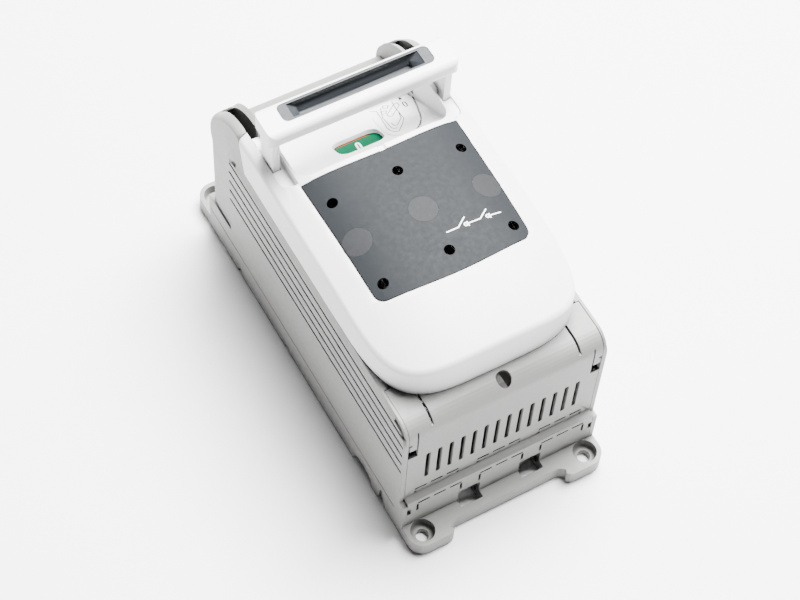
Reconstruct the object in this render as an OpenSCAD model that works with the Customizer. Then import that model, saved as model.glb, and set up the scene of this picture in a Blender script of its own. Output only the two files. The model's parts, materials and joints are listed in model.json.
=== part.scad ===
// Three-pole switch disconnector with a swing handle, in millimetres.
// The drawing frame has x across the poles, y from the front cover to the rear and z up from the base.

/* [Body] */
// Width over the base and the ribbed side panels
body_w = 108; // [104:1:114]
// Width of the lid, the ears and the plain part of the housing
upper_w = 106; // [102:1:107]
// Length of the base block, without the lugs
block_len = 204.2; // [200:1:212]
// Distance between the centres of neighbouring poles
pole_pitch = 34.1; // [33.6:0.1:34.4]
// How far the foot of the front cover stands out
step_out = 3.8; // [3:0.1:4.6]
// Thickness of the moulded outer walls
wall = 2.2; // [1.8:0.1:2.6]
// Gap left between neighbouring mouldings
seam = 0.25; // [0.2:0.05:0.35]

/* [Base] */
// Thickness of the mounting flange
flange_t = 8.7; // [8:0.1:10]
// Height of the base block
block_h = 28; // [26:0.5:29]
// Thickness of the base floor
floor_t = 4; // [3:0.5:5]
// Radius of the lug corners
lug_r = 8.3; // [7.5:0.1:8.5]
// Distance between the mounting holes across the base
hole_dx = 91.4; // [90:0.2:92]
// Distance from the block front to the front holes
hole_front = 6.1; // [5.5:0.1:7]
// Distance from the block rear to the rear holes
hole_rear = 10.6; // [10:0.2:12]
// Diameter of the mounting holes
hole_d = 6.5; // [5.5:0.5:7]
// Diameter of the counterbores for the screw heads
bore_d = 12; // [11:0.5:13]
// Depth of the counterbores
bore_depth = 5.1; // [4:0.1:6]
// How far the flange strip between the lugs stands back from them
strip_back = 6; // [5:0.2:7]

/* [Covers] */
// Thickness of the cover walls
cover_t = 1.5; // [1.4:0.1:2]
// Height of the step on the front cover
step_z = 30.5; // [29.5:0.5:32]
// Height of the lower edge of the covers
cover_z0 = 13; // [12:0.5:15]
// Height of the shoulders
shoulder_z = 94.5; // [92:0.5:96]
// Radius of the rounded shoulders
shoulder_r = 9.5; // [8:0.5:11]
// Number of vent slots
vents = 14; // [10:1:14]
// Distance between the vent slots
vent_pitch = 6.21; // [6:0.01:6.4]
// Width of a vent slot
vent_w = 2.4; // [2:0.1:2.7]
// Height of a vent slot
vent_h = 22.7; // [18:0.5:25]
// Height of the middle of the vent slots
vent_z = 54.6; // [52:0.5:57]
// Half width of the sprung tab on the shoulder
tab_x = 39.1; // [37:0.5:41]
// Diameter of the sealing hole in the tab
seal_d = 7.4; // [6:0.2:8]
// Width of a cable knock-out
knock_w = 23.8; // [22:0.2:25]

/* [Ribbed sides] */
// Number of louvre grooves on each side
louvres = 5; // [4:1:5]
// Distance between the louvre grooves
louvre_pitch = 7.65; // [7:0.05:7.8]
// Height of the top louvre groove
louvre_z = 87.2; // [86:0.2:88]
// Height of a louvre groove
louvre_h = 2; // [1.6:0.1:2.6]
// Depth of a louvre groove
louvre_d = 1.2; // [1.1:0.1:1.4]
// Length of the ribbed panels
panel_len = 175.4; // [168:1:178]

/* [Lid] */
// Height of the highest point of the lid
lid_top = 128.9; // [127:0.5:131]
// How far the crown of the lid has dropped over the middle of an outer pole
crown_drop = 3.65; // [3.3:0.05:3.8]
// Radius of the edge along the sides of the lid
edge_r = 1.6; // [1.3:0.1:2]
// Radius of the edge round the nose of the lid
nose_r = 2.2; // [1.8:0.1:3]
// Place of the front edge of the lid
lid_front = 10.8; // [10:0.2:12]
// Place of the rear edge of the lid
lid_rear = 178.5; // [176:0.5:180]
// Half width of the label plate at its rear edge
label_x = 41.4; // [40:0.2:43]
// Place of the front edge of the label plate in the middle
label_front = 47.8; // [47:0.2:50]
// Place of the rear edge of the label plate in the middle
label_rear = 120.1; // [119:0.1:120.5]
// Thickness of the label plate
label_t = 1; // [0.8:0.1:1.4]
// Diameter of the test holes
test_d = 5.2; // [4.6:0.2:5.8]
// Diameter of the round inspection windows
window_d = 14; // [12:0.5:15]

/* [Handle] */
// Distance from the front face to the handle axis
pivot_y = 165; // [164:0.5:166]
// Height of the handle axis
pivot_z = 87.5; // [87:0.5:88.5]
// Length of the handle bar
bar_len = 100; // [96:1:102]
// Depth of the handle bar
bar_d = 18.9; // [18:0.5:21]
// Height of the handle bar section
bar_h = 9; // [8:0.5:10]
// Height of the top of the handle bar when it is up
bar_top = 147.5; // [146:0.5:149]
// Place of the front of the handle bar when it is up
bar_front = 136.6; // [135:0.5:137.5]
// Thickness of a handle leg
leg_t = 3.7; // [3.2:0.1:4]
// Distance from the middle to the inside of a handle leg
leg_x = 43.9; // [43.5:0.1:44.2]
// Swing of the handle from off to on
swing = 54; // [50:1:55]
// Length of the dark grip insert
grip_len = 79.2; // [76:0.5:82]
// Depth of the dark grip insert
grip_d = 10.3; // [9.5:0.1:11]
// Length of the slot through the grip insert
slot_len = 60; // [56:1:62]

/* [Contacts] */
// Width of the conductor bars
bar_w = 14; // [12:0.5:15]
// Thickness of the conductor bars
bar_t = 3; // [2.5:0.5:3.5]
// Height of the underside of the conductor bars
bar_z = 58; // [56:0.5:60]
// Place of the middle of the contact bridges
bridge_y = 83; // [81:0.5:85]
// Length of a contact bridge
bridge_len = 36; // [34:0.5:40]
// Distance between the inner ends of the two conductors of a pole
break_gap = 22; // [20:0.5:24]
// Throw of the cranks on the cross shaft
crank_r = 13; // [12.5:0.1:13.2]
// Travel of the red and green indicator
flag_travel = 16; // [15.8:0.1:16.2]

/* [Hidden] */
$fn = 48;

poles = [-pole_pitch, 0, pole_pitch];
block_front = -step_out;
block_rear = block_front + block_len;
hole_y0 = block_front - hole_front;
hole_y1 = block_rear + hole_rear;
mid_y = (hole_y0 + hole_y1) / 2;
lug_y0 = hole_y0 - lug_r;
lug_y1 = hole_y1 + lug_r;
big = 300;
crown_y = pivot_y - 55;
crown_fall = 0.0000133;

// Housing: the plain sides, the rail that carries the lid and the ears
upper_x = upper_w / 2;
base_x = body_w / 2;
rail_z = shoulder_z + 0.3;
lid_z0 = rail_z + seam;
rear_face = block_rear - 1.8;
side_t = wall + 1;
leg_gap = 0.65;
slot_x0 = leg_x - leg_gap;
slot_x1 = leg_x + leg_t + leg_gap;
ear_x0 = slot_x0 - 2.6;
ear_r_in = crown(slot_x1, pivot_y) - pivot_z;
ear_r_out = ear_r_in - 2.6;
ear_corner_r = 22;
upper_rear = rear_face + 0.3;
rear_round = 5.5;
ear_z0 = block_h + 30;
cover_x = upper_x - 1.6;
cover_depth = 24;
rear_cover_x = upper_x - side_t - seam;
channel_w = 4.2;
guide_t = 1.5;
arm_t = 3.2;

// Handle in the off position: the bar middle and the line of the leg
bar_y = bar_front + bar_d / 2;
bar_z0 = bar_top - bar_h;
leg_front = bar_front + 3.3;
leg_depth = 11;
hub_r = 13;
axle_r = 5;
shaft_r = 6;
fit = 0.06;

// Contact carriage: the crank pins swing evenly about the level of the axis
half_swing = swing / 2;
throw = 2 * crank_r * sin(half_swing);
pin_y = pivot_y - crank_r * cos(half_swing);
pin_z = pivot_z - crank_r * sin(half_swing);
pin_r = 2.5;
run = 0.3;
tip_t = 1.5;
tip_len = 6;
bridge_z = bar_z - tip_t - run - throw - tip_t - bar_t;
spring_h = 8;
beam_top = bridge_z - spring_h;
beam_h = 10;
beam_d = 14;
beam_x = upper_x - 6;
arm_x = pole_pitch / 2;
arm_in = arm_x - arm_t / 2;
post_r = 2.5;

// Indicator flag: a plate that slides down the slope of the finger scoop
rail_t = 0.8;
flag_tab_t = 1.7;
scoop_y = pivot_y - 24;
scoop_z = pivot_z + 23;
scoop_tilt = 30;
flag_x0 = rail_t + run + 0.35 - arm_in;
flag_x1 = arm_in - 0.65 - run - rail_t - flag_tab_t;
flag_y0 = -7.5;
flag_y1 = 25.8;
flag_drop = 2.8;
flag_t = 1.6;
view_x0 = flag_x0 + 0.7;
view_x1 = flag_x1 - 0.6;
view_y0 = -6.45;
view_y1 = 9;
view_r = 5;
flag_pin_y = scoop_y - 2;
flag_pin_z = pivot_z + 0.5;
flag_pin_r = 1.5;

// Moves the drawing frame so that the origin is the middle of the base underside
module placed() {
    translate([0, -mid_y, 0]) children();
}

module both_sides() {
    children();
    mirror([1, 0, 0]) children();
}

// Extrudes an outline drawn in y and z from x0 to x1
module across(x0, x1) {
    translate([x0, 0, 0]) rotate([90, 0, 90]) linear_extrude(x1 - x0) children();
}

// Extrudes an outline drawn in x and z from y0 to y1
module along(y0, y1) {
    translate([0, y1, 0]) rotate([90, 0, 0]) linear_extrude(y1 - y0) children();
}

module box(x0, x1, y0, y1, z0, z1) {
    translate([x0, y0, z0]) cube([x1 - x0, y1 - y0, z1 - z0]);
}

// A cylinder along x
module rod(x0, x1, y, z, r) {
    translate([x0, y, z]) rotate([0, 90, 0]) cylinder(h = x1 - x0, r = r);
}

function arc(cx, cy, r, a0, a1, n) =
    [for (i = [0:n]) [cx + r * cos(a0 + (a1 - a0) * i / n), cy + r * sin(a0 + (a1 - a0) * i / n)]];

// A rectangle with round corners
module round_rect(x0, x1, y0, y1, r) {
    polygon(concat(
        arc(x0 + r, y0 + r, r, 180, 270, 6), arc(x1 - r, y0 + r, r, 270, 360, 6),
        arc(x1 - r, y1 - r, r, 0, 90, 6), arc(x0 + r, y1 - r, r, 90, 180, 6)));
}

// Height of the crowned top of the lid, nearly flat over the middle pole
function crown(x, y) =
    lid_top - crown_drop * pow(abs(x) / pole_pitch, 3) - crown_fall * pow(max(0, crown_y - y), 3);

// Half of the lid outline: a squared oval nose that runs into straight sides
nose_y = 75;
nose_power = 0.465;
nose_steps = 16;
function nose(inset, t) = [
    (upper_x - inset) * pow(sin(t), nose_power),
    nose_y - (nose_y - lid_front - inset) * pow(cos(t), nose_power)];
function lid_half(inset, rear) = concat(
    [for (i = [0:nose_steps]) nose(inset, 90 * i / nose_steps)],
    [for (i = [1:6]) [upper_x - inset, nose_y + (rear - nose_y) * i / 6]]);
function mirrored(half) = concat(half, [for (i = [len(half) - 1:-1:1]) [-half[i][0], half[i][1]]]);

// Pulls a point of an outline towards the middle line of the lid
function drawn_in(p, s, y0, y1) = [p[0] * s, min(max(p[1], y0), y1) * (1 - s) + p[1] * s];

// Closed solid from a stack of rings that have the same number of points
module ring_stack(rings) {
    n = len(rings[0]);
    m = len(rings);
    sides = [for (k = [0:m - 2], i = [0:n - 1])
        [k * n + i, k * n + (i + 1) % n, (k + 1) * n + (i + 1) % n, (k + 1) * n + i]];
    bottom = [[for (i = [n - 1:-1:0]) i]];
    top = [[for (i = [0:n - 1]) (m - 1) * n + i]];
    polyhedron(points = [for (r = rings) each r], faces = [for (f = concat(sides, bottom, top))
        [for (i = [len(f) - 1:-1:0]) f[i]]], convexity = 6);
}

// Radius of the lid edge, which grows round the nose, less the depth of an inner surface
min_r = 0.5;
function edge_at(y, depth) =
    max(min_r, edge_r + (nose_r - edge_r) * pow(max(0, nose_y - y) / (nose_y - lid_front), 2) - depth);

// Solid with the lid outline, upright walls, a rounded edge and the crowned top
module lid_dome(inset, drop, z0, rear) {
    steps = 5;
    pulls = [0.86, 0.7, 0.55, 0.4, 0.25, 0.04];
    y0 = nose_y - 20;
    y1 = rear - 20;
    wall_ring = mirrored(lid_half(inset, rear));
    inner_ring = mirrored(lid_half(inset + nose_r, rear));
    count = len(wall_ring);
    radii = [for (p = wall_ring) edge_at(p[1], drop)];
    last = [for (i = [0:count - 1]) wall_ring[i] + (inner_ring[i] - wall_ring[i]) * radii[i] / nose_r];
    edge = [for (k = [0:steps]) let (a = 90 * k / steps)
        [for (i = [0:count - 1]) let (p = wall_ring[i] + (last[i] - wall_ring[i]) * (1 - cos(a)))
            [p[0], p[1], crown(p[0], p[1]) - drop - radii[i] * (1 - sin(a))]]];
    top = [for (s = pulls) [for (p = last) let (q = drawn_in(p, s, y0, y1))
        [q[0], q[1], crown(q[0], q[1]) - drop]]];
    ring_stack(concat([[for (p = wall_ring) [p[0], p[1], z0]]], edge, top));
}

// Slab over the middle of the lid that follows the crown between two depths
slab_x = [for (i = [-12:12]) i * 4];
slab_y = [for (j = [0:9]) label_front - 4 + j * 9];
module crown_slab(low, high) {
    nx = len(slab_x);
    ny = len(slab_y);
    n = nx * ny;
    last = n - nx;
    points = [for (depth = [low, high], y = slab_y, x = slab_x) [x, y, crown(x, y) + depth]];
    cells = [for (j = [0:ny - 2], i = [0:nx - 2]) j * nx + i];
    over = [for (a = cells) each [[n + a, n + a + nx, n + a + nx + 1], [n + a, n + a + nx + 1, n + a + 1]]];
    under = [for (a = cells) each [[a, a + nx + 1, a + nx], [a, a + 1, a + nx + 1]]];
    front = [for (a = [0:nx - 2]) [n + a, n + a + 1, a + 1, a]];
    back = [for (a = [last:n - 2]) [n + a + 1, n + a, a, a + 1]];
    left = [for (j = [0:ny - 2]) let (a = j * nx) [n + a + nx, n + a, a, a + nx]];
    right = [for (j = [1:ny - 1]) let (a = j * nx - 1) [n + a, n + a + nx, a + nx, a]];
    polyhedron(points = points, faces = concat(over, under, front, back, left, right), convexity = 4);
}

// Rows of the round test holes in front of and behind the windows
test_y = [bridge_y - 24.2, bridge_y + 23.9];
window_fit = 0.05;
tab_sink = 1;
tab_gap = 0.6;

// Label plate outline, narrower towards the front, with round front corners
label_corner = 6;
label_taper = 1.4;
label_bow = 0.002;
front_bow = 0.0026;
function label_outline(grow) = let (
    x0 = label_x - label_taper + grow,
    x1 = label_x + grow,
    flat = x0 - label_corner,
    y0 = label_front + front_bow * flat * flat - grow,
    y1 = label_rear + label_bow * x1 * x1 + grow,
    half = concat(
        [for (i = [0:6]) [flat * i / 7, label_front + front_bow * pow(flat * i / 7, 2) - grow]],
        arc(flat, y0 + label_corner, label_corner, -84, 0, 6),
        [for (i = [1:6]) [x0 + (x1 - x0) * i / 6, y0 + label_corner + (y1 - y0 - label_corner) * i / 6]],
        [for (i = [7:-1:0]) [x1 * i / 8, label_rear + label_bow * pow(x1 * i / 8, 2) + grow]]))
    concat(half, [for (i = [len(half) - 2:-1:1]) [-half[i][0], half[i][1]]]);

// Base

lug_x = hole_dx / 2;
neck = 4.5;
// Half outline of the flange at one end, from the middle strip round the lug to the block
function lug_half() = concat(
    [[0, strip_back]],
    arc(lug_x - lug_r - neck * 2, strip_back - neck, neck, 90, 30, 4),
    arc(lug_x - lug_r - neck * 0.44, neck, neck, 210, 270, 4),
    arc(lug_x, lug_r, lug_r, -90, 0, 10),
    [[lug_x + lug_r, 30], [0, 30]]);

module flange_end() {
    both_sides() polygon(lug_half());
}

module mount_hole(y) {
    translate([lug_x, y, -1]) cylinder(h = flange_t + 2, d = hole_d);
    translate([lug_x, y, flange_t - bore_depth]) cylinder(h = bore_depth + 1, d = bore_d);
}

// Shallow cut-outs in the lower edge of a side wall, between the feet
notch_depth = 1.8;
module side_cutouts() {
    across(base_x - notch_depth, base_x + 1) {
        polygon(concat([[26, -1]], arc(34.5, 0, 9.5, 150, 20, 8), [[45, -1]]));
        polygon([[13.2, -1], [14.6, 12], [17.4, 12], [19.8, -1]]);
        polygon([[163.5, -1], [164.5, 5], [167, 5], [168.5, -1]]);
        polygon([[112, -1], [113, 3.2], [116, 3.2], [117, -1]]);
    }
}

post_d = 16;
bar_front_y = 12;
line_post_y = bridge_y - 47;
gap_x = pole_pitch / 2;
gap_w = 12;

// Mirrors an end-of-pole piece from the front half to the rear half
module at_rear() {
    translate([0, 2 * bridge_y, 0]) mirror([0, 1, 0]) children();
}

rear_bar_end = rear_face - 12;
load_post_y = rear_bar_end - (line_post_y - bar_front_y) - post_d;

module base_plate() {
    color("gainsboro") placed() difference() {
        union() {
            linear_extrude(flange_t) {
                translate([0, lug_y0]) flange_end();
                translate([0, lug_y1]) mirror([0, 1]) flange_end();
            }
            box(-base_x, base_x, block_front, block_rear, 0, block_h);
        }
        difference() {
            box(-base_x + wall + 1, base_x - wall - 1, block_front + wall, block_rear - wall,
                floor_t, block_h + 1);
            for (x = poles) {
                box(x - bar_w / 2, x + bar_w / 2, line_post_y, line_post_y + post_d, 0, block_h);
                box(x - bar_w / 2, x + bar_w / 2, load_post_y, load_post_y + post_d, 0, block_h);
            }
        }
        box(-cover_x - seam, cover_x + seam, block_front - 1, block_front + wall + 2, cover_z0, block_h + 1);
        box(-rear_cover_x - seam, rear_cover_x + seam, block_rear - wall - 2, block_rear + 1,
            cover_z0, block_h + 1);
        both_sides() {
            mount_hole(hole_y0);
            mount_hole(hole_y1);
            box(gap_x - gap_w / 2, gap_x + gap_w / 2, block_front - 4, block_front + 8, -1, cover_z0 + 1);
            box(base_x - 0.5, base_x + 1, block_front + 8, block_rear + 1, 16.6, 17.4);
            side_cutouts();
        }
    }
}

// Housing

// Plan of one side from its front end to the rear corner, which is rounded like the rim of the ear
ear_steps = 6;
module side_plan(y0) {
    polygon(concat(
        [[ear_x0, y0], [upper_x, y0]],
        arc_to(upper_x, upper_rear, upper_x - slot_x1, rear_round),
        [[ear_x0, upper_rear]]));
}

// Quarter of an ellipse at the corner of two faces, dx and dy long
function arc_to(x1, y1, dx, dy) =
    [for (k = [0:ear_steps]) let (a = 90 * k / ear_steps) [x1 - dx + dx * cos(a), y1 - dy + dy * sin(a)]];

// Side wall with its front corner rounded like the cover
module side_wall() {
    r = shoulder_r;
    intersection() {
        translate([0, 0, block_h]) linear_extrude(rail_z - block_h) side_plan(0);
        across(upper_x - side_t, upper_x + 1) polygon(concat(
            [[0, block_h - 1], [upper_rear + 1, block_h - 1], [upper_rear + 1, pivot_z],
                [pivot_y, pivot_z], [pivot_y, rail_z + 1], [r, rail_z + 1]],
            arc(r, rail_z - r, r, 90, 180, 8)));
    }
}

panel_x0 = upper_x - 0.5;
panel_top = louvre_z + louvre_h + 1.6;
louvre_groups = [[50.5, 110.5], [113.3, 132.4]];

module rib_panel() {
    r = 7;
    across(panel_x0, base_x) polygon(concat(
        [[0, block_h], [panel_len, block_h]],
        arc(panel_len - r, panel_top - r, r, 0, 90, 6),
        arc(shoulder_r, panel_top - shoulder_r, shoulder_r, 90, 180, 6)));
    // Bevel from the panel up to the rail
    along(shoulder_r + 1, panel_len - r - 1) polygon([
        [panel_x0, panel_top - 1], [base_x, panel_top], [upper_x, rail_z - 0.2], [panel_x0, rail_z - 0.2]]);
}

// Louvre grooves along the panel, with slots through the wall in their floors
module louvre_cuts() {
    for (i = [0:louvres - 1]) {
        z = louvre_z - i * louvre_pitch;
        box(base_x - louvre_d, base_x + 1, 1.2, panel_len + 1, z - louvre_h / 2, z + louvre_h / 2);
        for (g = louvre_groups)
            box(upper_x - side_t - 1, base_x + 2, g[0], g[1], z - louvre_h / 2 + 0.2, z + louvre_h / 2 - 0.2);
    }
}

// Disc along x with its outer rim rounded from the leg slot to the side face
module ear_disc(y, z, r, cheek) {
    translate([0, y, z]) rotate([0, 90, 0]) rotate_extrude()
        polygon(concat(
            [[0, ear_x0], [r + cheek, ear_x0], [r, slot_x0]],
            arc_to(r, upper_x, ear_r_in - ear_r_out, upper_x - slot_x1),
            [[0, upper_x]]));
}

// Ear: a disc round the handle axis on a block that ends the side, with a round corner at its rear
module ear_solid() {
    ear_disc(pivot_y, pivot_z, ear_r_in, 1.3);
    ear_disc(upper_rear - ear_corner_r - 0.2, pivot_z + 0.7, ear_corner_r, 0.1);
    translate([0, 0, ear_z0]) linear_extrude(pivot_z - ear_z0) side_plan(pivot_y);
}

// Room in the ear for the leg over the whole swing, as offsets from the handle axis
ear_slot_path = [
    [-40, -6], [-40, 80], [37, 80], [37, 39], [24.5, 22], [24.5, -10], [0, -13]];
module ear_slot() {
    across(slot_x0, slot_x1) translate([pivot_y, pivot_z]) polygon(ear_slot_path);
    rod(slot_x0, slot_x1, pivot_y, pivot_z, hub_r + 0.8);
}

// Line of the joint between the lid cheek and the ear
seam_top = [pivot_y + 0.2, lid_top];
seam_low = [pivot_y - 5.7, rail_z];
module behind_seam(gap) {
    polygon([
        [seam_low[0] + gap, rail_z - 0.1], [seam_top[0] + gap, lid_top - 13],
        [seam_top[0] + gap, lid_top + 5], [rear_face + 10, lid_top + 5], [rear_face + 10, rail_z - 0.1]]);
}

bulkhead_t = 2;
bulkhead_y0 = bridge_y - 49;
bulkhead_y1 = pivot_y - 22;
// Walls on both sides of the carriage arms, open where the beam moves up and down
module guide_walls() {
    both_sides() for (x0 = [arm_x - channel_w / 2 - guide_t, arm_x + channel_w / 2])
        difference() {
            box(x0, x0 + guide_t, bulkhead_y0, flag_pin_y - 7, floor_t, flag_pin_z - 5);
            box(x0 - 1, x0 + guide_t + 1, bridge_y - beam_d / 2 - 0.5, bridge_y + beam_d / 2 + 0.5,
                floor_t - 1, beam_top + throw + 3);
        }
}

// Cross wall over the conductor bars
module bulkhead(y, top) {
    difference() {
        box(-upper_x + side_t - 0.2, upper_x - side_t + 0.2, y, y + bulkhead_t, floor_t, top);
        for (x = poles)
            box(x - bar_w / 2, x + bar_w / 2, y - 1, y + bulkhead_t + 1, -1, bar_z + bar_t);
    }
}

clamp_room = 0.6;
module housing() {
    color("gainsboro") placed() difference() {
        union() {
            both_sides() {
                side_wall();
                rib_panel();
                intersection() {
                    ear_solid();
                    across(ear_x0 - 1, upper_x + 1) union() {
                        behind_seam(seam);
                        polygon([[pivot_y - 12, ear_z0], [upper_rear + 1, ear_z0],
                            [upper_rear + 1, rail_z], [pivot_y - 12, rail_z]]);
                    }
                }
            }
            guide_walls();
            bulkhead(bulkhead_y0, rail_z - 8);
            bulkhead(bulkhead_y1, bar_z + bar_t + 4);
        }
        // Rooms for the front cover and for the load terminals under the ears
        box(-cover_x - seam, cover_x + seam, -1, cover_depth + seam, 0, big);
        both_sides() {
            box(ear_x0 - 1, pole_pitch + clamp_w / 2 + clamp_room, pivot_y - 13, upper_rear - 3,
                ear_z0 - 1, bar_z + bar_t + clamp_top + clamp_room);
            ear_slot();
            rod(slot_x1 - 1, slot_x1 + 3.6, pivot_y, pivot_z, axle_r + fit);
            rod(ear_x0 - 1, slot_x0 + 1, pivot_y, pivot_z, shaft_r + fit);
            louvre_cuts();
        }
    }
}

// Covers

// Wall section of a cover in y and z, from the foot over the step to the shoulder
module cover_outline(out, depth) {
    r = shoulder_r;
    t = cover_t;
    polygon(concat(
        [[-out, cover_z0], [-out, step_z], [0, step_z]],
        arc(r, shoulder_z - r, r, 180, 90, 8),
        [[depth, shoulder_z], [depth, shoulder_z - t]],
        arc(r, shoulder_z - r, r - t, 90, 180, 8),
        [[t, step_z - t], [t - out, step_z - t], [t - out, cover_z0]]));
}

module vent_slot(x) {
    r = vent_w / 2;
    z0 = vent_z - vent_h / 2 + r;
    z1 = vent_z + vent_h / 2 - r;
    box(x - r, x + r, -2, wall + 2, z0, z1);
    for (z = [z0, z1])
        translate([x, wall + 2, z]) rotate([90, 0, 0]) cylinder(h = wall + 4, r = r);
}

// Broken line of slits round one cable knock-out
module knock_out(x, out) {
    slit = 1.2;
    gap = 2.2;
    dash = (knock_w - 2 * gap) / 3;
    for (i = [0:2]) {
        x0 = x - knock_w / 2 + i * (dash + gap);
        box(x0, x0 + dash, -1, wall + 1, step_z + 3.6, step_z + 3.6 + slit);
        box(x0, x0 + dash, -out - 1, wall - out + 0.6, step_z - wall - 0.4 - slit, step_z - wall - 0.4);
    }
    for (s = [-1, 1]) {
        box(x + s * knock_w / 2 - slit / 2, x + s * knock_w / 2 + slit / 2, -out - 1, wall - out + 0.6,
            step_z - 10.5, step_z - 4.5);
        translate([x + s * (knock_w / 2 - 0.4), wall + 1, step_z + 1.3]) rotate([90, 0, 0])
            cylinder(h = wall + 2, r = 0.8);
    }
}

// Snap window with its slit; the tongue left in it is the hook of the cover
module snap_window() {
    x1 = cover_x + 1;
    x0 = upper_x - 6.6;
    box(x0, x1, -1, wall + 3, 68.5, 75.3);
    box(x0, x0 + 0.8, -1, wall + 3, 75, 88.8);
    box(x1 - 2.6, x1, -1, wall + 3, 79.6, 81);
    box(x1 - 1.4, x1, -1, wall + 3, 75, 81);
}

module cover(out, depth, count) {
    difference() {
        across(-cover_x, cover_x) cover_outline(out, depth);
        for (i = [0:count - 1]) vent_slot((i - (count - 1) / 2) * vent_pitch);
        for (x = poles) knock_out(x, out);
    }
}

module front_cover() {
    color("gainsboro") placed() difference() {
        cover(step_out, cover_depth, vents);
        both_sides() {
            snap_window();
            box(tab_x - 0.6, tab_x + 0.6, -1, 30, shoulder_z - 5.3, shoulder_z + 1);
            box(cover_x - 2, cover_x + 1, -step_out - 1, wall - step_out + 1, 19, 24);
            box(gap_x - gap_w / 2, gap_x + gap_w / 2, -step_out - 1, 0, cover_z0 - 1, 17.5);
        }
        translate([0, seal_d / 2 + 1.6, shoulder_z - 12]) cylinder(h = 20, d = seal_d);
    }
}

// The rear cover fits between the side walls, and between the ears in its upper part
module rear_cover() {
    x0 = ear_x0 - seam;
    x1 = rear_cover_x;
    z = ear_z0 - seam;
    color("gainsboro") placed() translate([0, rear_face, 0]) mirror([0, 1, 0]) intersection() {
        cover(block_rear - rear_face, rear_face - lid_rear + 2, vents - 2);
        along(-10, 40) polygon([
            [-x1, 0], [x1, 0], [x1, z], [x0, z], [x0, shoulder_z + 1],
            [-x0, shoulder_z + 1], [-x0, z], [-x1, z]]);
    }
}

// Lid

// Section of the finger scoop in y and z: the space above its floor, which is flat round the indicator
scoop_x = ear_x0 - seam;
scoop_front = label_rear + 3.3;
scoop_bow = 0.0018;
scoop_corner = 8;
module scoop_outline() {
    rise = tan(scoop_tilt);
    polygon([
        [scoop_front, lid_top + 20], [scoop_front, lid_top - 5.5], [scoop_front + 1.2, lid_top - 8.1],
        [scoop_y - 13, scoop_z + 13 * rise], [scoop_y + 15, scoop_z - 15 * rise],
        [pivot_y + 1, rail_z + 3.9], [pivot_y + 7, rail_z + 3.1], [lid_rear + 2, rail_z + 2.7],
        [lid_rear + 2, lid_top + 20]]);
}

// Plan of the scoop with its bowed front edge and round front corners
module scoop_plan(grow) {
    x = scoop_x + grow;
    r = scoop_corner + grow;
    flat = x - r;
    y = scoop_front + scoop_bow * flat * flat - grow;
    polygon(concat(
        [[-x, 200]], arc(-flat, y + r, r, 180, 270, 8),
        [for (i = [-5:5]) [flat * i / 6, scoop_front + scoop_bow * pow(flat * i / 6, 2) - grow]],
        arc(flat, y + r, r, 270, 360, 8), [[x, 200]]));
}

// Space of the scoop, or with a growth the space and its shell
module scoop_space(grow) {
    intersection() {
        translate([0, -grow, -grow * 0.6]) across(-upper_x, upper_x) scoop_outline();
        linear_extrude(big) scoop_plan(grow);
    }
}

nail_y = label_rear + 5.7;
nail_z = lid_top - 11.4;
// Finger-nail recess in front of a leg, with its outer front corner rounded
module nail_recess() {
    r = 6.4;
    x0 = scoop_x + 1.1;
    translate([0, 0, nail_z]) linear_extrude(20) polygon(concat(
        [[x0, nail_y]], arc(slot_x1 - r, nail_y + r, r, -90, 0, 6), [[slot_x1, 145], [x0, 145]]));
}

// Frame that lies in the slope of the scoop: x across, y down the slope, z out of it
module on_slope() {
    translate([0, scoop_y, scoop_z]) rotate([-scoop_tilt, 0, 0]) children();
}

rail_y0 = -14;
rail_y1 = 10;
plate_hole = test_d + 4;
module lid() {
    color("white") placed() difference() {
        union() {
            difference() {
                lid_dome(0, 0, lid_z0, lid_rear);
                lid_dome(wall, wall, lid_z0 - 1, lid_rear - wall);
            }
            // Shell under the scoop, solid cheeks beside the legs and the floor of the recesses
            intersection() {
                lid_dome(0.4, 0.4, lid_z0, lid_rear);
                union() {
                    scoop_space(wall);
                    both_sides() {
                        box(slot_x1, upper_x, nail_y - 2, lid_rear, lid_z0, lid_top);
                        box(scoop_x, upper_x, nail_y - 2, 150, nail_z - wall, lid_top);
                    }
                }
            }
            // Rails that carry the indicator flag under the scoop
            on_slope() {
                x = flag_x1 + flag_tab_t + run;
                z0 = -flag_drop - flag_t - run - rail_t;
                box(flag_x0 - run - rail_t, flag_x0 - run, rail_y0, rail_y1, z0, -wall + 0.4);
                box(flag_x0 - run - rail_t, flag_x0 + 1, rail_y0, rail_y1, z0, z0 + rail_t);
                box(x, x + rail_t, rail_y0, rail_y1, z0, -wall + 0.4);
            }
        }
        scoop_space(0);
        intersection() {
            crown_slab(-label_t, 20);
            linear_extrude(big) polygon(label_outline(0.45));
        }
        for (x = poles) {
            for (y = test_y)
                translate([x, y, lid_z0]) cylinder(h = 60, d = plate_hole);
            translate([x, bridge_y, lid_z0]) cylinder(h = 60, d = window_d - 3);
        }
        on_slope() {
            linear_extrude(20, center = true) round_rect(view_x0, view_x1, view_y0, view_y1, view_r);
            translate([0, 0, -tab_sink]) linear_extrude(5) polygon(tab_outline(tab_gap));
        }
        both_sides() {
            across(ear_x0 - seam, upper_x + 5) behind_seam(0);
            box(slot_x0, slot_x1, leg_front - leg_gap, rear_face, lid_z0 - 1, bar_top);
            nail_recess();
        }
    }
}

module label_plate() {
    color("dimgray") placed() difference() {
        intersection() {
            crown_slab(-label_t, 0);
            linear_extrude(big) polygon(label_outline(0));
        }
        for (x = poles) {
            for (y = test_y)
                translate([x, y, lid_z0]) cylinder(h = 60, d = test_d);
            translate([x, bridge_y, lid_z0]) cylinder(h = 60, d = window_d);
        }
    }
}

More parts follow.
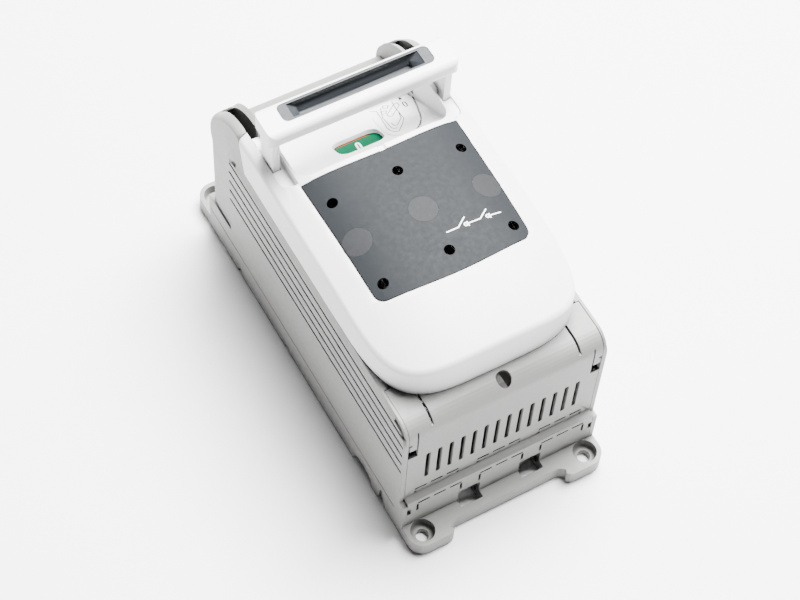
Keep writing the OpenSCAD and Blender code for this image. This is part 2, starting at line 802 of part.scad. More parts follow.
// Frosted disc in the label plate, crowned like the plate
module window(x) {
    color("gray") placed() intersection() {
        crown_slab(-label_t, 0);
        translate([x, bridge_y, lid_z0]) cylinder(h = 60, d = window_d - 2 * window_fit);
    }
}

// Outline of the instruction moulding on the slope, with room for it on its right and at its front
function tab_outline(room) = concat(
    [[17, 27], [14.2, 14.6], [12.3, 0], [12.5, -3.5 - room], [14.2, -7.5 - room], [17, -9.8 - room]],
    [[20.5, -10.7 - room], [24.8 + room / 2, -10.75 - room], [28 + room, -7.7 - room], [31.2 + room, -2.9]],
    [[34.2 + room, 3.8], [38 + room, 15.2], [39.2 + room, 20], [39.2 + room, 27]]);

// Moulding with the instruction symbol, let into the slope right of the indicator
module instruction_tab() {
    color("whitesmoke") placed() on_slope()
        translate([0, 0, -tab_sink]) linear_extrude(tab_sink + 0.25) polygon(tab_outline(0));
}

// Handle

module leg_outline() {
    polygon([
        [leg_front, bar_z0 + 1], [leg_front, bar_z0 - 30], [leg_front + 3, pivot_z + 14],
        [pivot_y - hub_r + 1, pivot_z - 2], [pivot_y, pivot_z + hub_r - 1],
        [leg_front + leg_depth - 1, pivot_z + 21], [leg_front + leg_depth, pivot_z + 29],
        [leg_front + leg_depth + 2.5, bar_z0 + 1]]);
}

// Rounded lug behind the foot of a leg, which fills the slot of the ear
module lug_outline() {
    r = 5;
    polygon(concat(
        [[leg_front + leg_depth - 3, pivot_z + 10], [pivot_y, pivot_z + 8]],
        arc(pivot_y - 6.5, pivot_z + 25.3, r, -30, 150, 10)));
}

module handle() {
    r = 4;
    color("white") placed() difference() {
        union() {
            intersection() {
                across(-bar_len / 2, bar_len / 2)
                    round_rect(bar_front, bar_front + bar_d, bar_z0, bar_top, 3.2);
                linear_extrude(big) round_rect(-bar_len / 2, bar_len / 2, bar_front, bar_front + bar_d, r);
            }
            both_sides() {
                across(leg_x, leg_x + leg_t) leg_outline();
                across(leg_x, leg_x + leg_t) lug_outline();
                rod(leg_x, leg_x + leg_t, pivot_y, pivot_z, hub_r);
                rod(leg_x + leg_t - 1, slot_x1 + 3.3, pivot_y, pivot_z, axle_r);
            }
        }
        translate([0, 0, bar_z0 - 1]) linear_extrude(bar_h + 2)
            round_rect(-grip_len / 2 - 0.2, grip_len / 2 + 0.2, grip_y0 - 0.2, grip_y1 + 0.2, 3);
    }
}

grip_y0 = bar_y - grip_d / 2 + 1.7;
grip_y1 = grip_y0 + grip_d;

module grip_insert() {
    color("dimgray") placed() difference() {
        translate([0, 0, bar_z0 + 0.2]) linear_extrude(bar_h - 0.5)
            round_rect(-grip_len / 2, grip_len / 2, grip_y0, grip_y1, 2.8);
        box(-slot_len / 2, slot_len / 2, grip_y0 + 1.2, grip_y1 - 2.4, bar_z0 + 2, big);
        box(-slot_len / 2, slot_len / 2, grip_y0 + 1.2, grip_y0 + 5.7, 0, big);
        along(grip_y0 + 1.2, grip_y1 - 1) polygon([
            [-slot_len / 2 - 4.5, bar_top + 1], [-slot_len / 2 - 4.5, bar_top - 0.6],
            [-slot_len / 2 + 1, bar_top - 4.4], [slot_len / 2 - 1, bar_top - 4.4],
            [slot_len / 2 + 4.5, bar_top - 0.6], [slot_len / 2 + 4.5, bar_top + 1]]);
    }
}

// Shaft between the handle hubs, with two cranks that drive the contact carriage
crank_x0 = arm_x + arm_t / 2 + 0.7;
crank_t = 3.4;
module cross_shaft() {
    color("silver") placed() {
        rod(-leg_x, leg_x, pivot_y, pivot_z, shaft_r);
        both_sides() {
            rod(crank_x0, crank_x0 + crank_t, pivot_y, pivot_z, shaft_r + 2.5);
            rod(crank_x0, crank_x0 + crank_t, pin_y, pin_z, 4.2);
            across(crank_x0, crank_x0 + crank_t) polygon([
                [pivot_y - 1, pivot_z + 6], [pin_y - 1, pin_z + 3.8],
                [pin_y + 1.2, pin_z - 3.8], [pivot_y + 1, pivot_z - 7]]);
            rod(arm_x - arm_t / 2 + 0.2, crank_x0 + 1, pin_y, pin_z, pin_r);
        }
    }
}

// Contact carriage

arm_end = pin_y + pin_r + run + 2.2;
module arm_outline() {
    polygon([
        [bridge_y - beam_d / 2, beam_top - beam_h], [bridge_y + beam_d / 2, beam_top - beam_h],
        [flag_pin_y - 2, pin_z - 14], [arm_end, pin_z - 4.8], [arm_end, pin_z + 4.6], [pin_y - 7, pin_z + 4.6],
        [flag_pin_y - 5, pin_z - 5], [bridge_y + beam_d / 2, beam_top + 4], [bridge_y - beam_d / 2, beam_top]]);
}

module contact_carriage() {
    color("dimgray") placed() difference() {
        union() {
            box(-beam_x, beam_x, bridge_y - beam_d / 2, bridge_y + beam_d / 2, beam_top - beam_h, beam_top);
            both_sides() across(arm_x - arm_t / 2, arm_x + arm_t / 2) arm_outline();
            box(arm_x - arm_t / 2, arm_x + arm_t / 2, flag_pin_y - 3, flag_pin_y + 3, pin_z - 12, flag_pin_z + 3);
            rod(flag_x1 - 0.4, arm_x, flag_pin_y, flag_pin_z, flag_pin_r);
            for (x = poles)
                translate([x, bridge_y, beam_top - 1]) cylinder(h = spring_h + bar_t + 2.5, r = post_r);
        }
        // Slots for the crank pins, long enough for the sideways part of their swing
        both_sides() across(arm_x - arm_t, arm_x + arm_t) round_rect(
            pivot_y - crank_r - pin_r - run, pin_y + pin_r + run,
            pin_z - pin_r - run, pin_z + pin_r + run, 1);
    }
}

module bridge(x) {
    color("peru") placed() difference() {
        union() {
            box(x - 6, x + 6, bridge_y - bridge_len / 2, bridge_y + bridge_len / 2, bridge_z, bridge_z + bar_t);
            for (s = [-1, 1])
                translate([x - 5, bridge_y + s * (bridge_len / 2 - tip_len / 2 - 0.5) - tip_len / 2,
                    bridge_z + bar_t]) cube([10, tip_len, tip_t]);
        }
        translate([x, bridge_y, bridge_z - 1]) cylinder(h = bar_t + 2, r = post_r + fit);
    }
}

// Contact pressure spring, drawn as its tube with wide turns cut into it
module spring(x) {
    turns = 4;
    gap = 1;
    pitch = (spring_h - gap) / turns;
    color("silver") placed() translate([x, bridge_y, beam_top]) difference() {
        cylinder(h = spring_h, r = 5);
        translate([0, 0, -1]) cylinder(h = spring_h + 2, r = 3.2);
        for (i = [0:turns - 1]) translate([0, 0, gap / 2 + pitch * i + 0.6]) difference() {
            cylinder(h = pitch - 1.1, r = 6);
            translate([0, 0, -1]) cylinder(h = pitch + 2, r = 4.1);
        }
    }
}

// Point in y and z in the thickness of the flag, down the slope of the scoop
flag_mid = flag_drop + flag_t / 2;
function under_slope(down) = [
    scoop_y + down * cos(scoop_tilt) - flag_mid * sin(scoop_tilt),
    scoop_z - down * sin(scoop_tilt) - flag_mid * cos(scoop_tilt)];

// Indicator flag with the slanted slot that the carriage pin runs in
module indicator_flag() {
    dy = flag_travel * cos(scoop_tilt);
    dz = throw - flag_travel * sin(scoop_tilt);
    slope = atan2(dz, dy);
    long = sqrt(dy * dy + dz * dz);
    r = flag_pin_r + run;
    color("seagreen") placed() {
        on_slope() box(flag_x0, flag_x1, flag_y0, flag_y1, -flag_drop - flag_t, -flag_drop);
        difference() {
            across(flag_x1 - 0.4, flag_x1 + flag_tab_t) polygon([
                [flag_pin_y - 3.6, flag_pin_z - 3.6], [flag_pin_y + 2, flag_pin_z - 3.6],
                [flag_pin_y + dy + 3.6, flag_pin_z + dz - 2], under_slope(19), under_slope(0),
                [flag_pin_y - 3.6, flag_pin_z + 10]]);
            across(flag_x1 - 1, flag_x1 + 3) translate([flag_pin_y, flag_pin_z]) rotate(slope)
                round_rect(-r, long + r, -r, r, r - 0.05);
        }
    }
}

// Fixed contacts, terminals and arc chambers

module line_bar(x) {
    end = bridge_y - break_gap / 2;
    color("peru") placed() {
        box(x - bar_w / 2, x + bar_w / 2, bar_front_y, end, bar_z, bar_z + bar_t);
        box(x - 5, x + 5, end - tip_len, end, bar_z - tip_t, bar_z);
    }
}

module load_bar(x) {
    end = bridge_y + break_gap / 2;
    color("peru") placed() {
        box(x - bar_w / 2, x + bar_w / 2, end, rear_bar_end, bar_z, bar_z + bar_t);
        box(x - 5, x + 5, end, end + tip_len, bar_z - tip_t, bar_z);
    }
}

clamp_w = 19;
clamp_d = 14;
clamp_z0 = bar_z - 12;
clamp_top = 5;
screw_d = 6;
line_clamp_y = bar_front_y + 1;
load_clamp_y = rear_bar_end - 1 - clamp_d;

module clamp(x, y) {
    color("silver") placed() difference() {
        box(x - clamp_w / 2, x + clamp_w / 2, y, y + clamp_d, clamp_z0, bar_z + bar_t + clamp_top);
        box(x - bar_w / 2 - 0.3, x + bar_w / 2 + 0.3, y - 1, y + clamp_d + 1, clamp_z0 + 2.5, bar_z + bar_t);
        translate([x, y + clamp_d / 2, bar_z]) cylinder(h = 30, d = screw_d + 0.1);
    }
}

module terminal_screws() {
    head_z = bar_z + bar_t + clamp_top;
    color("silver") placed() for (x = poles, y = [line_clamp_y, load_clamp_y])
        translate([x, y + clamp_d / 2, 0]) difference() {
            union() {
                translate([0, 0, bar_z + bar_t]) cylinder(h = clamp_top + 1, d = screw_d);
                translate([0, 0, head_z]) cylinder(h = 5, d = 10);
            }
            translate([0, 0, head_z + 2]) cylinder(h = 4, d = 5.8, $fn = 6);
        }
}

module arc_chamber(x) {
    z0 = bar_z + bar_t;
    plates = 5;
    long = break_gap + 12;
    color("burlywood") placed() {
        for (x0 = [x - bar_w / 2 - 1.6, x + bar_w / 2])
            box(x0, x0 + 1.6, bridge_y - long / 2, bridge_y + long / 2, bar_z, z0 + 20);
        for (i = [0:plates - 1])
            box(x - bar_w / 2 - 0.5, x + bar_w / 2 + 0.5, bridge_y - break_gap / 2 + 1,
                bridge_y + break_gap / 2 - 1, z0 + 3 + i * 3.6, z0 + 4 + i * 3.6);
    }
}

base_plate();
housing();
front_cover();
rear_cover();
lid();
label_plate();
window(poles[0]);  // window_left
window(poles[1]);  // window_mid
window(poles[2]);  // window_right
instruction_tab();
handle();
grip_insert();
cross_shaft();
contact_carriage();
bridge(poles[0]);  // bridge_left
bridge(poles[1]);  // bridge_mid
bridge(poles[2]);  // bridge_right
spring(poles[0]);  // spring_left
spring(poles[1]);  // spring_mid
spring(poles[2]);  // spring_right
indicator_flag();
line_bar(poles[0]);  // line_bar_left
line_bar(poles[1]);  // line_bar_mid
line_bar(poles[2]);  // line_bar_right
load_bar(poles[0]);  // load_bar_left
load_bar(poles[1]);  // load_bar_mid
load_bar(poles[2]);  // load_bar_right
clamp(poles[0], line_clamp_y);  // line_clamp_left
clamp(poles[1], line_clamp_y);  // line_clamp_mid
clamp(poles[2], line_clamp_y);  // line_clamp_right
clamp(poles[0], load_clamp_y);  // load_clamp_left
clamp(poles[1], load_clamp_y);  // load_clamp_mid
clamp(poles[2], load_clamp_y);  // load_clamp_right
arc_chamber(poles[0]);  // arc_chamber_left
arc_chamber(poles[1]);  // arc_chamber_mid
arc_chamber(poles[2]);  // arc_chamber_right
terminal_screws();
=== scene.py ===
"""The looks of the switch disconnector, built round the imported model."""

import json
import math

import bmesh
import bpy
from mathutils import Matrix, Vector


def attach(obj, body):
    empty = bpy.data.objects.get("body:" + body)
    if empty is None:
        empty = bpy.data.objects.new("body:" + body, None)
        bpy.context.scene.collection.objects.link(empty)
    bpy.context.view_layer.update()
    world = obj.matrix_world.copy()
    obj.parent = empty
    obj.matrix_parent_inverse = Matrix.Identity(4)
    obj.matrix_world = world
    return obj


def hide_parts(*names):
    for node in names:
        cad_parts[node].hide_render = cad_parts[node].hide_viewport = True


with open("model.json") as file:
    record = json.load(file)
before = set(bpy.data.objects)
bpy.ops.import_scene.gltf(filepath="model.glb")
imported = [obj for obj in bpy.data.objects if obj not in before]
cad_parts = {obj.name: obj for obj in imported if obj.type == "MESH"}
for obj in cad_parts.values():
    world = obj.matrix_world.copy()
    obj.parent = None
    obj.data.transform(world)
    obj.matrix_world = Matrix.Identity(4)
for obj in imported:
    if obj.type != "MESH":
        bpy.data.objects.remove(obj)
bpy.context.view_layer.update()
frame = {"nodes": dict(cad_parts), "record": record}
nodes = frame["nodes"]

MM = 0.001
# Sizes of the drawing that the looks follow, in millimetres
MID_Y = 100.55
LID_TOP = 128.9
CROWN_DROP = 3.65
CROWN_FALL = 0.0000133
CROWN_Y = 110
POLE_PITCH = 34.1
SCOOP_Y = 141
SCOOP_Z = 110.5
SLOPE = math.radians(30)
PLATE_X = 41.4
PLATE_TAPER = 1.4
PLATE_FRONT = 47.8
PLATE_REAR = 120.1
PLATE_CORNER = 6
PLATE_CORNER_Y = 56.8
PLATE_SIDE_END = 123.5
FRONT_BOW = 0.0026
REAR_BOW = 0.002
STEP_Z = 30.5
COVER_WALL = 2.2
EAR_SLOT_X = (43.0, 48.4)
EAR_SLOT_Y = 158
EAR_SLOT_Z = (92, 122)
FLAG_SPLIT = 8.8
# How far printed marks lie over the plate, the instruction moulding and the slope of the scoop
PLATE_LIFT = 0.0
TAB_LIFT = 0.25
FLAG_DROP = -2.8
PRINT_SUNK = 0.02
PRINT_THICK = 0.03


def row(x, y, z):
    """A point of the drawing, in millimetres, in the row frame."""
    return Vector((x * MM, (y - MID_Y) * MM, z * MM))


# Materials


def new_material(name):
    material = bpy.data.materials.new(name)
    material.use_nodes = True
    tree = material.node_tree
    shader = tree.nodes["Principled BSDF"]
    return material, tree, shader


def noise(tree, scale, detail=3.0, rough=0.55):
    """A noise value over the object's own coordinates."""
    coord = tree.nodes.new("ShaderNodeTexCoord")
    tex = tree.nodes.new("ShaderNodeTexNoise")
    tex.inputs["Scale"].default_value = scale
    tex.inputs["Detail"].default_value = detail
    tex.inputs["Roughness"].default_value = rough
    tree.links.new(coord.outputs["Object"], tex.inputs["Vector"])
    return tex.outputs["Fac"]


def ramp(tree, value, low, high, a=0.3, b=0.7):
    """The value, spread from a..b to low..high."""
    node = tree.nodes.new("ShaderNodeMapRange")
    node.inputs["From Min"].default_value = a
    node.inputs["From Max"].default_value = b
    node.inputs["To Min"].default_value = low
    node.inputs["To Max"].default_value = high
    tree.links.new(value, node.inputs["Value"])
    return node.outputs["Result"]


def mixed(tree, value, first, second):
    """A colour between two others."""
    node = tree.nodes.new("ShaderNodeMix")
    node.data_type = "RGBA"
    node.inputs["A"].default_value = (*first, 1)
    node.inputs["B"].default_value = (*second, 1)
    tree.links.new(value, node.inputs["Factor"])
    return node.outputs["Result"]


def tinted(color, gain):
    return tuple(min(1.0, c * gain) for c in color)


def plastic(name, color, rough=0.5, grain=0.12, grain_scale=2600, edge=0.35, vary=0.03,
            cloud_scale=38, shine=0.45):
    """Moulded plastic: spark-eroded grain, slight flow clouds, softly rounded edges."""
    material, tree, shader = new_material(name)
    clouds = noise(tree, cloud_scale, 4)
    tree.links.new(mixed(tree, clouds, tinted(color, 1 - vary), tinted(color, 1 + vary)),
                   shader.inputs["Base Color"])
    gloss = ramp(tree, noise(tree, 420, 3), rough - 0.05, rough + 0.06)
    tree.links.new(gloss, shader.inputs["Roughness"])
    shader.inputs["IOR"].default_value = 1.5
    shader.inputs["Specular IOR Level"].default_value = shine
    bevel = tree.nodes.new("ShaderNodeBevel")
    bevel.samples = 4
    bevel.inputs["Radius"].default_value = edge * MM
    bump = tree.nodes.new("ShaderNodeBump")
    bump.inputs["Strength"].default_value = grain
    bump.inputs["Distance"].default_value = 0.00006
    tree.links.new(noise(tree, grain_scale, 2, 0.6), bump.inputs["Height"])
    tree.links.new(bevel.outputs["Normal"], bump.inputs["Normal"])
    tree.links.new(bump.outputs["Normal"], shader.inputs["Normal"])
    return material


def metal(name, color, rough=0.32, stretch=(1, 40, 1)):
    """Metal with a drawn or brushed finish."""
    material, tree, shader = new_material(name)
    coord = tree.nodes.new("ShaderNodeTexCoord")
    mapping = tree.nodes.new("ShaderNodeMapping")
    mapping.inputs["Scale"].default_value = stretch
    tex = tree.nodes.new("ShaderNodeTexNoise")
    tex.inputs["Scale"].default_value = 300
    tree.links.new(coord.outputs["Object"], mapping.inputs["Vector"])
    tree.links.new(mapping.outputs["Vector"], tex.inputs["Vector"])
    tree.links.new(mixed(tree, tex.outputs["Fac"], tinted(color, 0.9), tinted(color, 1.06)),
                   shader.inputs["Base Color"])
    gloss = ramp(tree, tex.outputs["Fac"], rough - 0.08, rough + 0.12)
    tree.links.new(gloss, shader.inputs["Roughness"])
    shader.inputs["Metallic"].default_value = 1.0
    bump = tree.nodes.new("ShaderNodeBump")
    bump.inputs["Strength"].default_value = 0.05
    bump.inputs["Distance"].default_value = 0.00004
    tree.links.new(tex.outputs["Fac"], bump.inputs["Height"])
    tree.links.new(bump.outputs["Normal"], shader.inputs["Normal"])
    return material


mats = {
    "shell": plastic("moulding_grey", (0.183, 0.182, 0.176), 0.52),
    "cover_white": plastic("moulding_white", (0.74, 0.74, 0.735), 0.46, grain=0.08),
    "handle_white": plastic("handle_white", (0.78, 0.78, 0.775), 0.42, grain=0.05, edge=0.5),
    "plate_dark": plastic("plate_grey", (0.0125, 0.0142, 0.016), 0.6, grain=0.35, grain_scale=1500,
                          edge=0.15, vary=0.08, shine=0.1),
    "window": plastic("window_frosted", (0.0205, 0.0215, 0.023), 0.6, grain=0.6, grain_scale=900,
                      edge=0.1, vary=0.25, cloud_scale=420, shine=0.1),
    "grip_dark": plastic("grip_grey", (0.021, 0.0238, 0.0275), 0.5, grain=0.2, edge=0.3, vary=0.06,
                         shine=0.3),
    "carriage_dark": plastic("carriage_black", (0.03, 0.03, 0.032), 0.5),
    "fibre": plastic("chamber_fibre", (0.30, 0.24, 0.16), 0.7, vary=0.12),
    "steel": metal("steel_plated", (0.62, 0.62, 0.63)),
    "conductor": metal("copper_silvered", (0.80, 0.76, 0.70), 0.28, (40, 1, 1)),
    "flag": plastic("flag_green", (0.0, 0.08, 0.036), 0.55, grain=0.05, edge=0.2, shine=0.05),
}
FLAG_RED = plastic("flag_red", (0.62, 0.02, 0.015), 0.4, grain=0.05, edge=0.2)
# Painted shade: near-black that stands in for the shadow inside the ear slots and the knock-out slits
SLOT_PAINTED_SHADE = plastic("slot_shadow", (0.02, 0.02, 0.019), 0.7, grain=0.05, shine=0.2)
PRINT_WHITE = plastic("print_white", (0.82, 0.82, 0.82), 0.5, grain=0.02, edge=0.05)
PRINT_GREY = plastic("print_grey", (0.045, 0.045, 0.047), 0.6, grain=0.02, edge=0.05, shine=0.1)
# Black for print, and also painted shade for the dark gaps round the plate and the instruction moulding
PRINT_AND_SHADE_BLACK = plastic("print_and_shade_black", (0.005, 0.005, 0.005), 0.6, grain=0.02, edge=0.05, shine=0.1)


# Surfaces that carry printed marks, as in the drawing


def slope_point(x, along, out):
    """A point over the slope of the scoop: across, down the slope and out of it, in millimetres."""
    y = SCOOP_Y + along * math.cos(SLOPE) + out * math.sin(SLOPE)
    z = SCOOP_Z - along * math.sin(SLOPE) + out * math.cos(SLOPE)
    return row(x, y, z)


def crown_point(x, y, out):
    """A point over the crowned lid."""
    drop = CROWN_DROP * (abs(x) / POLE_PITCH) ** 3 + CROWN_FALL * max(0, CROWN_Y - y) ** 3
    return row(x, y, LID_TOP - drop + out)


def named_object(name, mesh, material, body):
    """A new piece that rides on a body."""
    mesh.materials.append(material)
    obj = bpy.data.objects.new(name, mesh)
    bpy.context.scene.collection.objects.link(obj)
    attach(obj, body)
    return obj


def resampled(points, closed, step=1.5):
    """The same line with extra points, so that it follows a curved surface."""
    pairs = list(zip(points, points[1:] + points[:1])) if closed else list(zip(points, points[1:]))
    out = []
    for (x0, y0), (x1, y1) in pairs:
        n = max(1, int(math.hypot(x1 - x0, y1 - y0) / step))
        out += [(x0 + (x1 - x0) * k / n, y0 + (y1 - y0) * k / n) for k in range(n)]
    return out if closed else out + [points[-1]]


def printed(name, lines, width, surface, lift, material, body):
    """Printed lines: each is (points, closed), drawn as a thin raised ribbon on a surface."""
    verts, faces = [], []
    for points, closed in lines:
        points = resampled(points, closed)
        n = len(points)
        base = len(verts)
        for i, (x, y) in enumerate(points):
            before = points[i - 1] if (i or closed) else points[i]
            after = points[(i + 1) % n] if (i < n - 1 or closed) else points[i]
            dx0, dy0 = x - before[0], y - before[1]
            dx1, dy1 = after[0] - x, after[1] - y
            l0, l1 = math.hypot(dx0, dy0) or 1, math.hypot(dx1, dy1) or 1
            tx, ty = dx0 / l0 + dx1 / l1, dy0 / l0 + dy1 / l1
            length = math.hypot(tx, ty) or 1
            nx, ny = -ty / length, tx / length
            half = width / 2 * min(1.6, 2 / length if (i not in (0, n - 1) or closed) else 1)
            for side in (-1, 1):
                for out in (lift - PRINT_SUNK, lift + PRINT_THICK):
                    verts.append(surface(x + nx * half * side, y + ny * half * side, out))
        for i in range(n if closed else n - 1):
            a, b = base + 4 * i, base + 4 * ((i + 1) % n)
            faces += [(a + 1, b + 1, b + 3, a + 3), (a, a + 2, b + 2, b)]
            faces += [(a, b, b + 1, a + 1), (a + 2, a + 3, b + 3, b + 2)]
        if not closed:
            last = base + 4 * (n - 1)
            faces += [(base, base + 1, base + 3, base + 2), (last, last + 2, last + 3, last + 1)]
    mesh = bpy.data.meshes.new(name)
    mesh.from_pydata([v[:] for v in verts], [], faces)
    return named_object(name, mesh, material, body)


def oval(cx, cy, w, h, turn=0.0, power=1.0, n=28):
    """A squared oval, such as the figure 0."""
    out = []
    tc, ts = math.cos(turn), math.sin(turn)
    for k in range(n):
        a = 2 * math.pi * k / n
        c, s = math.cos(a), math.sin(a)
        x = w / 2 * math.copysign(abs(c) ** power, c)
        y = h / 2 * math.copysign(abs(s) ** power, s)
        out.append((cx + x * tc - y * ts, cy + x * ts + y * tc))
    return out


# Every CAD node is dressed by a copy with joined vertices, so that curved walls shade smoothly

bodies = frame["record"]["behaviour"]["bodies"]
body_of_node = {node: body for body, names in bodies.items() for node in names}


def in_ear_slot(face):
    """True for the upper inner faces of the slots that the legs swing in, which are painted near-black:
    painted shade for the deep shadow there, and partly the dark part seen behind.
    """
    c = face.calc_center_median() / MM
    inside = EAR_SLOT_X[0] < abs(c.x) < EAR_SLOT_X[1] and c.y + MID_Y > EAR_SLOT_Y
    turned = abs(face.normal.x) < 0.5 or face.normal.x * c.x > 0
    return inside and turned and EAR_SLOT_Z[0] < c.z < EAR_SLOT_Z[1]


def in_knock_out(face):
    """True for the faces inside the slits round the cable knock-outs, which are painted near-black as
    painted shade for the shadow in the slits.
    """
    c = face.calc_center_median() / MM
    depth = MID_Y - abs(c.y)
    top = STEP_Z + 3.5 < c.z < STEP_Z + 4.9 and -0.1 < depth < COVER_WALL + 0.1
    on_step = depth < COVER_WALL - 3.1
    low = STEP_Z - COVER_WALL - 1.7 < c.z < STEP_Z - COVER_WALL - 0.3 and on_step
    side = STEP_Z - 10.6 < c.z < STEP_Z - 4.4 and on_step and abs(face.normal.x) > 0.9
    return abs(face.normal.y) < 0.5 and (top or low or side) and abs(c.x) < 48


def split_flag(work):
    """Cuts the flag where its green part ends; the test finds the faces past the cut."""
    point = slope_point(0, FLAG_SPLIT, 0)
    normal = slope_point(0, 1, 0) - slope_point(0, 0, 0)
    bmesh.ops.bisect_plane(work, geom=work.verts[:] + work.edges[:] + work.faces[:],
                           plane_co=point, plane_no=normal)
    return lambda face: (face.calc_center_median() - point).dot(normal) > 0


def split_ears(work):
    """Cuts the slots of the ears where their painted shade begins."""
    near = [face for face in work.faces
            if EAR_SLOT_X[0] < abs(face.calc_center_median().x / MM) < EAR_SLOT_X[1]]
    edges = list(dict.fromkeys(edge for face in near for edge in face.edges))
    verts = list(dict.fromkeys(vert for face in near for vert in face.verts))
    bmesh.ops.bisect_plane(work, geom=verts + edges + near, plane_co=row(0, 0, EAR_SLOT_Z[0]),
                           plane_no=(0, 0, 1))
    return in_ear_slot


def split_nothing(work):
    """Leaves a cover's faces as they are."""
    return in_knock_out


# Nodes with a second material: the material, and what cuts the node and finds its faces; on the housing
# and the covers the second material is painted shade in slots and slits
SECOND_LOOKS = {"indicator_flag": (FLAG_RED, split_flag), "housing": (SLOT_PAINTED_SHADE, split_ears),
                "front_cover": (SLOT_PAINTED_SHADE, split_nothing), "rear_cover": (SLOT_PAINTED_SHADE, split_nothing)}
SMOOTH_ANGLE = {"base_plate": 17}


def joined_copy(node, slot_name):
    """Dresses a node with a smooth copy of its mesh."""
    mesh = nodes[node].data.copy()
    mesh.materials.clear()
    mesh.materials.append(mats[slot_name])
    work = bmesh.new()
    work.from_mesh(mesh)
    bmesh.ops.remove_doubles(work, verts=work.verts, dist=0.000002)
    if node in SECOND_LOOKS:
        is_second = SECOND_LOOKS[node][1](work)
        for face in work.faces:
            face.material_index = int(is_second(face))
    for face in work.faces:
        face.smooth = True
    work.to_mesh(mesh)
    work.free()
    mesh.set_sharp_from_angle(angle=math.radians(SMOOTH_ANGLE.get(node, 24)))
    obj = bpy.data.objects.new(node + "_skin", mesh)
    bpy.context.scene.collection.objects.link(obj)
    obj.modifiers.new("weighted", "WEIGHTED_NORMAL").keep_sharp = True
    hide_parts(node)
    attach(obj, body_of_node[node])
    if node in SECOND_LOOKS:
        mesh.materials.append(SECOND_LOOKS[node][0])


for sub in frame["record"]["subparts"]:
    joined_copy(sub["node"], sub["material_slot"])

# Marks on the flag: 0 on its green part, I on its red part
zero = oval(-0.95, 1.7, 1.75, 8.0, turn=-0.174, power=0.7)
printed("flag_zero", [(zero, True)], 1.0, slope_point, FLAG_DROP,
        PRINT_WHITE, "flag")
printed("flag_one", [([(-0.8, 15.0), (-0.8, 21.6)], False)], 1.05, slope_point, FLAG_DROP,
        PRINT_WHITE, "flag")

# Picture of the lever on the instruction moulding
tab_lines = [
    ([(16.5, 26.2), (19.6, 22.5), (15.3, 2.1), (15.1, -1.9), (16.5, -5.2), (18.0, -5.6),
      (22.8, 0.1), (25.9, 5.0), (27.7, 16.9), (29.9, 26.2)], False),
    ([(22.5, 23.9), (18.6, 13.6), (16.8, 0.3), (17.6, -1.6), (19.2, -1.4)], False),
    ([(19.1, 5.4), (18.9, 1.3), (20.4, 0.9), (25.0, 6.1), (27.3, 13.8)], False),
    ([(21.5, 14.5), (21.7, 11.8), (22.9, 11.6), (30.8, 19.4), (31.0, 22.7), (29.6, 22.9)], True),
    ([(24.2, 25.6), (23.4, 22.4), (25.2, 21.2), (26.6, 23.6)], True),
    ([(20.9, 20.4), (20.1, 17.2), (22.1, 16.6), (23.3, 19.2)], True)]
printed("tab_picture", tab_lines, 0.42, slope_point, TAB_LIFT, PRINT_GREY, "body")
tab_zero = oval(33.2, 18.0, 1.5, 5.9, turn=-0.164, power=0.8)
printed("tab_zero", [(tab_zero, True)], 0.6, slope_point, TAB_LIFT,
        PRINT_AND_SHADE_BLACK, "body")
tab_dot = [(34.4, 27.5), (34.8, 25.2), (33.7, 24.4)]
printed("tab_dot", [(tab_dot, True)], 0.8, slope_point, TAB_LIFT,
        PRINT_AND_SHADE_BLACK, "body")

# Painted shade: a black ribbon along the right side of the instruction moulding stands in for the shadow
# in the gap there
tab_gap = [(39.6, 22.5), (39.2, 20.5), (37.4, 14.3), (35.2, 7.6), (33.3, 2.0), (31.5, -2.3),
           (29.2, -6.1), (26.6, -9.3), (24.3, -11.1)]
printed("tab_gap", [(tab_gap, False)], 0.7, slope_point, TAB_LIFT - PRINT_THICK,
        PRINT_AND_SHADE_BLACK, "body")

# Painted shade: a dark line round the edge of the plate stands in for the shadow where the plate drops
# into its recess
flat = PLATE_X - PLATE_TAPER - PLATE_CORNER
plate_half = [(flat * i / 7, PLATE_FRONT + FRONT_BOW * (flat * i / 7) ** 2) for i in range(7)]
for degrees in range(-84, 1, 14):
    a = math.radians(degrees)
    plate_half.append((flat + PLATE_CORNER * math.cos(a), PLATE_CORNER_Y + PLATE_CORNER * math.sin(a)))
plate_half.append((PLATE_X, PLATE_SIDE_END))
plate_half += [(PLATE_X * i / 8, PLATE_REAR + REAR_BOW * (PLATE_X * i / 8) ** 2) for i in range(7, -1, -1)]
plate_edge_painted_shade = plate_half + [(-x, y) for x, y in plate_half[-2:0:-1]]
printed("plate_edge_painted_shade", [(plate_edge_painted_shade, True)], 0.3, crown_point, PLATE_LIFT,
        PRINT_AND_SHADE_BLACK, "body")

# Circuit symbol of a switch disconnector on the plate: two contacts in a row
SYMBOL_Y = 67.15
symbol = []
for x in (3.1, 14.7):
    lever = [(x, SYMBOL_Y), (x + 6.3, SYMBOL_Y), (x + 11.6, SYMBOL_Y + 3.8)]
    ring = oval(x + 10.3, SYMBOL_Y, 1.5, 1.5)
    bar = [(x + 11.4, SYMBOL_Y + 1.2), (x + 11.4, SYMBOL_Y - 1.4)]
    symbol += [(lever, False), (ring, True), (bar, False)]
symbol.append(([(26.3, SYMBOL_Y), (32.2, SYMBOL_Y)], False))
printed("plate_symbol", symbol, 0.62, crown_point, PLATE_LIFT, PRINT_WHITE, "body")


# Camera and lights

SENSOR = 36
FOCAL_PIXELS = 2072.43
PICTURE_PIXELS = 800
FLOOR_HALF = 4
FLOOR_DROP = 0.0004

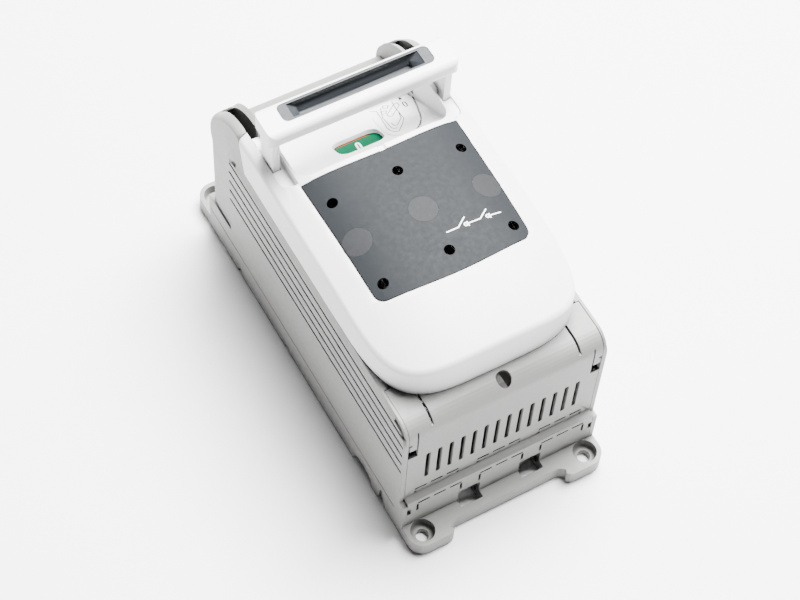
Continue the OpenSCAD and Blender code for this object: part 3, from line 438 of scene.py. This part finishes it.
scene = bpy.context.scene
camera_data = bpy.data.cameras.new("camera")
camera_data.sensor_width = SENSOR
camera_data.lens = SENSOR * FOCAL_PIXELS / PICTURE_PIXELS
camera_data.clip_start = 0.05
camera_data.clip_end = 20
camera = bpy.data.objects.new("camera", camera_data)
scene.collection.objects.link(camera)
right = Vector((0.87175, -0.48804, 0.04316))
up = Vector((0.39237, 0.74817, 0.53505))
back = Vector((-0.29342, -0.44950, 0.84371))
turn = Matrix((right, up, back)).transposed().to_4x4()
camera.matrix_world = Matrix.Translation((-0.3024, -0.46763, 0.9020)) @ turn
scene.camera = camera


def area_light(name, place, aim, size, power):
    """A white rectangular light that looks at a point."""
    data = bpy.data.lights.new(name, "AREA")
    data.shape = "RECTANGLE"
    data.size, data.size_y = size
    data.energy = power
    light = bpy.data.objects.new(name, data)
    scene.collection.objects.link(light)
    light.location = place
    light.rotation_euler = (Vector(aim) - Vector(place)).to_track_quat("-Z", "Y").to_euler()


area_light("key", (0.5, 0.32, 1.42), (0, 0, 0.08), (1.1, 1.0), 252)
area_light("fill_front", (-0.7, -1.2, 0.7), (0, 0, 0.06), (1.2, 0.9), 0.1)
area_light("fill_left", (-1.3, 0.1, 0.5), (0, 0, 0.06), (0.9, 0.8), 0.8)

world = bpy.data.worlds.new("studio")
world.use_nodes = True
world.node_tree.nodes["Background"].inputs["Color"].default_value = (1, 1, 1, 1)
world.node_tree.nodes["Background"].inputs["Strength"].default_value = 0.05
scene.world = world

floor_mesh = bpy.data.meshes.new("floor")
floor_corners = [(x * FLOOR_HALF, y * FLOOR_HALF, 0) for x, y in ((-1, -1), (1, -1), (1, 1), (-1, 1))]
floor_mesh.from_pydata(floor_corners, [], [(0, 1, 2, 3)])
floor = bpy.data.objects.new("floor", floor_mesh)
floor.location.z = -FLOOR_DROP
scene.collection.objects.link(floor)
floor_mat, floor_tree, floor_shader = new_material("floor_pale")
floor_color = mixed(floor_tree, noise(floor_tree, 3, 2), (0.86, 0.86, 0.86), (0.9, 0.9, 0.9))
floor_tree.links.new(floor_color, floor_shader.inputs["Base Color"])
floor_shader.inputs["Roughness"].default_value = 0.85
floor_mesh.materials.append(floor_mat)
